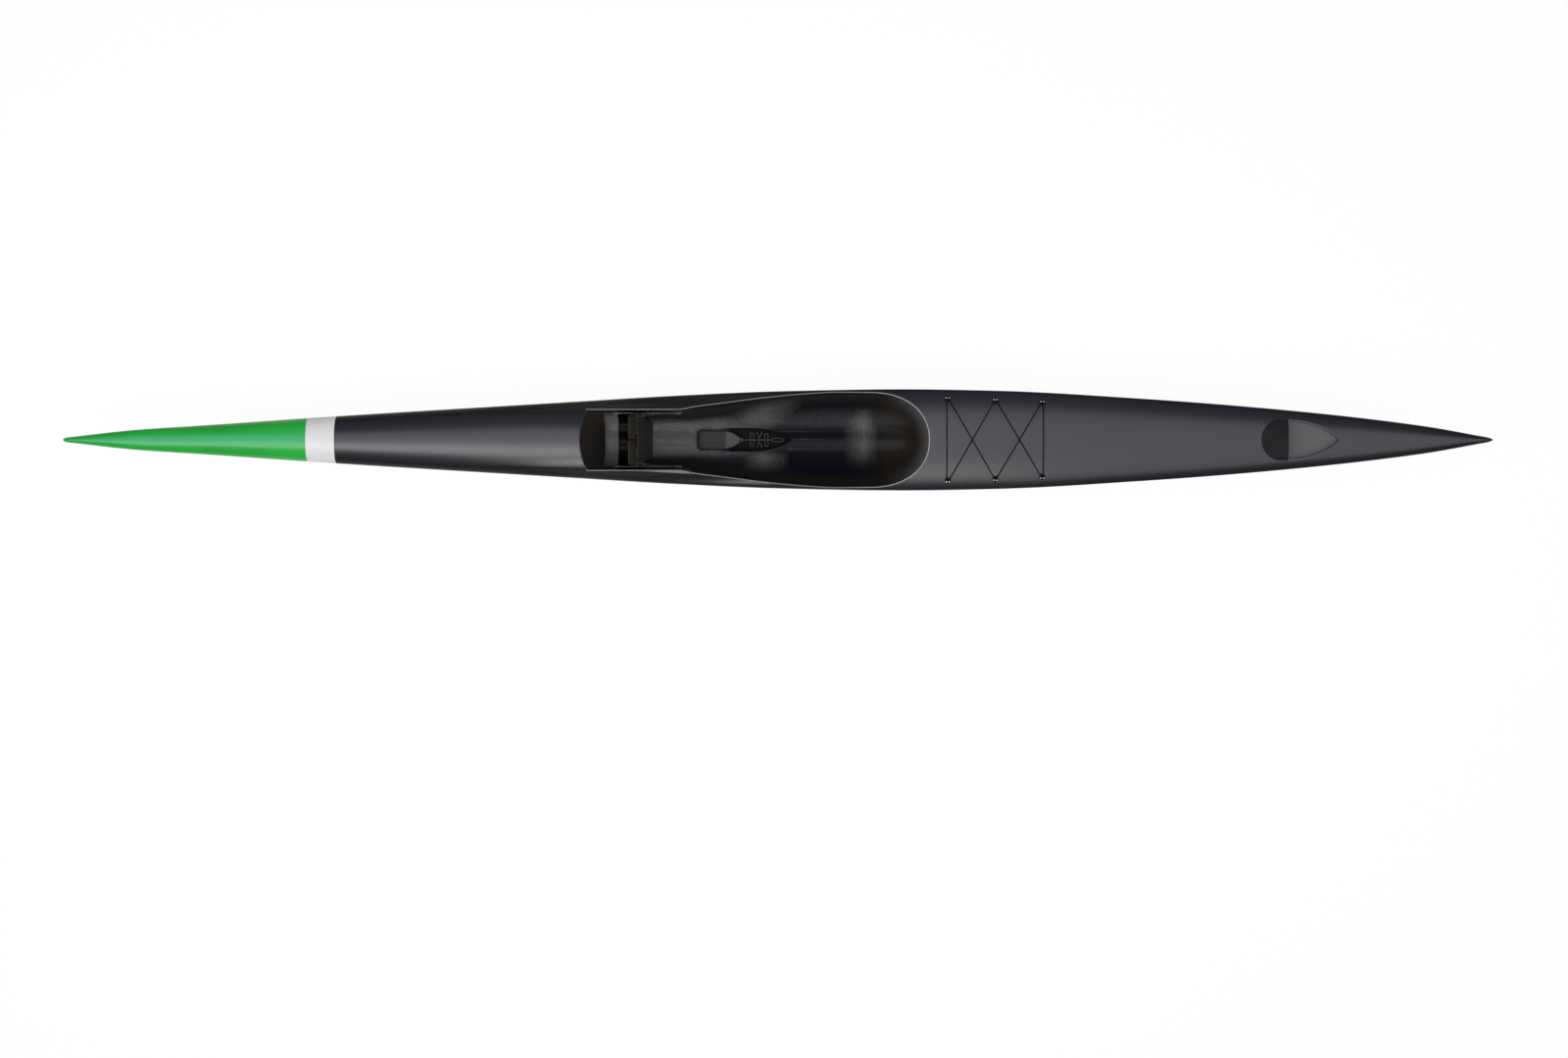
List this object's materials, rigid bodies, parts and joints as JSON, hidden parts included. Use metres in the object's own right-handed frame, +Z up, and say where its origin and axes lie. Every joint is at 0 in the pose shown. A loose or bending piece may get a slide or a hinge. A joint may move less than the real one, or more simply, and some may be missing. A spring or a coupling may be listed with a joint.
{
  "type": "surfski",
  "caption": "Single-seat ocean racing surfski: slender closed hull with open seat bucket, sliding footplate with rudder pedals, self-bailer, deck bungee and swept understern rudder.",
  "frame": {"origin": "on the flat keel strip at half length, on the centreline", "axes": "+X aft along the keel strip, +Y to starboard, +Z up"},
  "size_m": [6.4, 0.4558, 0.5035],
  "materials": {
    "hull_paint": "near-black satin paint, green bow and white band",
    "deck_paint": "charcoal satin paint, green bow and white band",
    "carbon": "carbon weave under clear resin",
    "recess_paint": "grey satin paint",
    "rail": "anodised",
    "black_plastic": "moulded",
    "grey_plastic": "moulded",
    "steel": "stainless",
    "cord": "braided sheath",
    "line": "braided line"
  },
  "bodies": {
    "hull": {"hull_shell": "hull_paint", "deck_shell": "deck_paint", "cockpit_tub": "carbon", "stern_recess": "recess_paint", "stern_hood": "carbon", "foot_rail_port": "rail", "foot_rail_starboard": "rail", "rail_screw_fore_port": "steel", "rail_screw_aft_port": "steel", "rail_screw_fore_starboard": "steel", "rail_screw_aft_starboard": "steel", "rudder_tube": "grey_plastic", "lower_bush": "black_plastic", "upper_bush": "black_plastic", "line_conduit_port": "grey_plastic", "line_conduit_starboard": "grey_plastic", "rudder_line_port": "line", "rudder_line_starboard": "line", "deck_eye_port_1": "black_plastic", "deck_eye_port_2": "black_plastic", "deck_eye_port_3": "black_plastic", "deck_eye_starboard_1": "black_plastic", "deck_eye_starboard_2": "black_plastic", "deck_eye_starboard_3": "black_plastic", "eye_screw_port_1_fore": "steel", "eye_screw_port_1_aft": "steel", "eye_screw_port_2_fore": "steel", "eye_screw_port_2_aft": "steel", "eye_screw_port_3_fore": "steel", "eye_screw_port_3_aft": "steel", "eye_screw_starboard_1_fore": "steel", "eye_screw_starboard_1_aft": "steel", "eye_screw_starboard_2_fore": "steel", "eye_screw_starboard_2_aft": "steel", "eye_screw_starboard_3_fore": "steel", "eye_screw_starboard_3_aft": "steel", "deck_bungee": "cord", "bailer_well": "black_plastic", "bailer_frame": "grey_plastic", "bailer_cover": "grey_plastic", "chute_pin": "steel", "lever_pin": "steel"},
    "rudder": {"rudder_blade": "carbon", "rudder_stock": "steel", "tiller_yoke": "black_plastic", "yoke_screw": "steel"},
    "foot_carriage": {"footplate": "black_plastic", "rail_clamp_port": "black_plastic", "rail_clamp_starboard": "black_plastic", "hinge_pin_port": "steel", "hinge_pin_starboard": "steel"},
    "pedal_port": {"pedal_port": "black_plastic"},
    "pedal_starboard": {"pedal_starboard": "black_plastic"},
    "lock_port": {"lock_plunger_port": "steel"},
    "lock_starboard": {"lock_plunger_starboard": "steel"},
    "bailer_lever": {"bailer_lever": "steel"},
    "bailer_chute": {"bailer_chute": "black_plastic"}
  },
  "joints": [
    {"name": "rudder_turn", "type": "hinge", "parent": "hull", "child": "rudder", "pos_m": [2.235, 0, 0.1], "axis": [0, 0, 1], "range_deg": [-35, 35], "deforming": ["rudder_line_port", "rudder_line_starboard"]},
    {"name": "foot_slide", "type": "slide", "parent": "hull", "child": "foot_carriage", "axis": [1, 0, 0], "range_m": [-0.06, 0.14]},
    {"name": "pedal_port_tilt", "type": "hinge", "parent": "foot_carriage", "child": "pedal_port", "pos_m": [-0.657, -0.06, 0.212], "axis": [0, 1, 0], "range_deg": [-17.5, 17.5]},
    {"name": "pedal_starboard_tilt", "type": "hinge", "parent": "foot_carriage", "child": "pedal_starboard", "pos_m": [-0.657, 0.06, 0.212], "axis": [0, 1, 0], "range_deg": [-17.5, 17.5]},
    {"name": "lock_port_pull", "type": "slide", "parent": "foot_carriage", "child": "lock_port", "axis": [0, 1, 0], "range_m": [0, 0.008], "stiffness_N_per_m": 300, "springref_m": -0.005},
    {"name": "lock_starboard_pull", "type": "slide", "parent": "foot_carriage", "child": "lock_starboard", "axis": [0, -1, 0], "range_m": [0, 0.008], "stiffness_N_per_m": 300, "springref_m": -0.005},
    {"name": "bailer_lever_lift", "type": "hinge", "parent": "hull", "child": "bailer_lever", "pos_m": [-0.188, 0, 0.039], "axis": [0, -1, 0], "range_deg": [0, 45]},
    {"name": "bailer_chute_drop", "type": "hinge", "parent": "hull", "child": "bailer_chute", "pos_m": [-0.362, 0, 0.0066], "axis": [0, 1, 0], "range_deg": [0, 6.75]}
  ],
  "couplings": [
    {"joint": "pedal_port_tilt", "follows": "rudder_turn", "ratio": 0.5},
    {"joint": "pedal_starboard_tilt", "follows": "rudder_turn", "ratio": -0.5},
    {"joint": "bailer_chute_drop", "follows": "bailer_lever_lift", "ratio": 0.15}
  ]
}
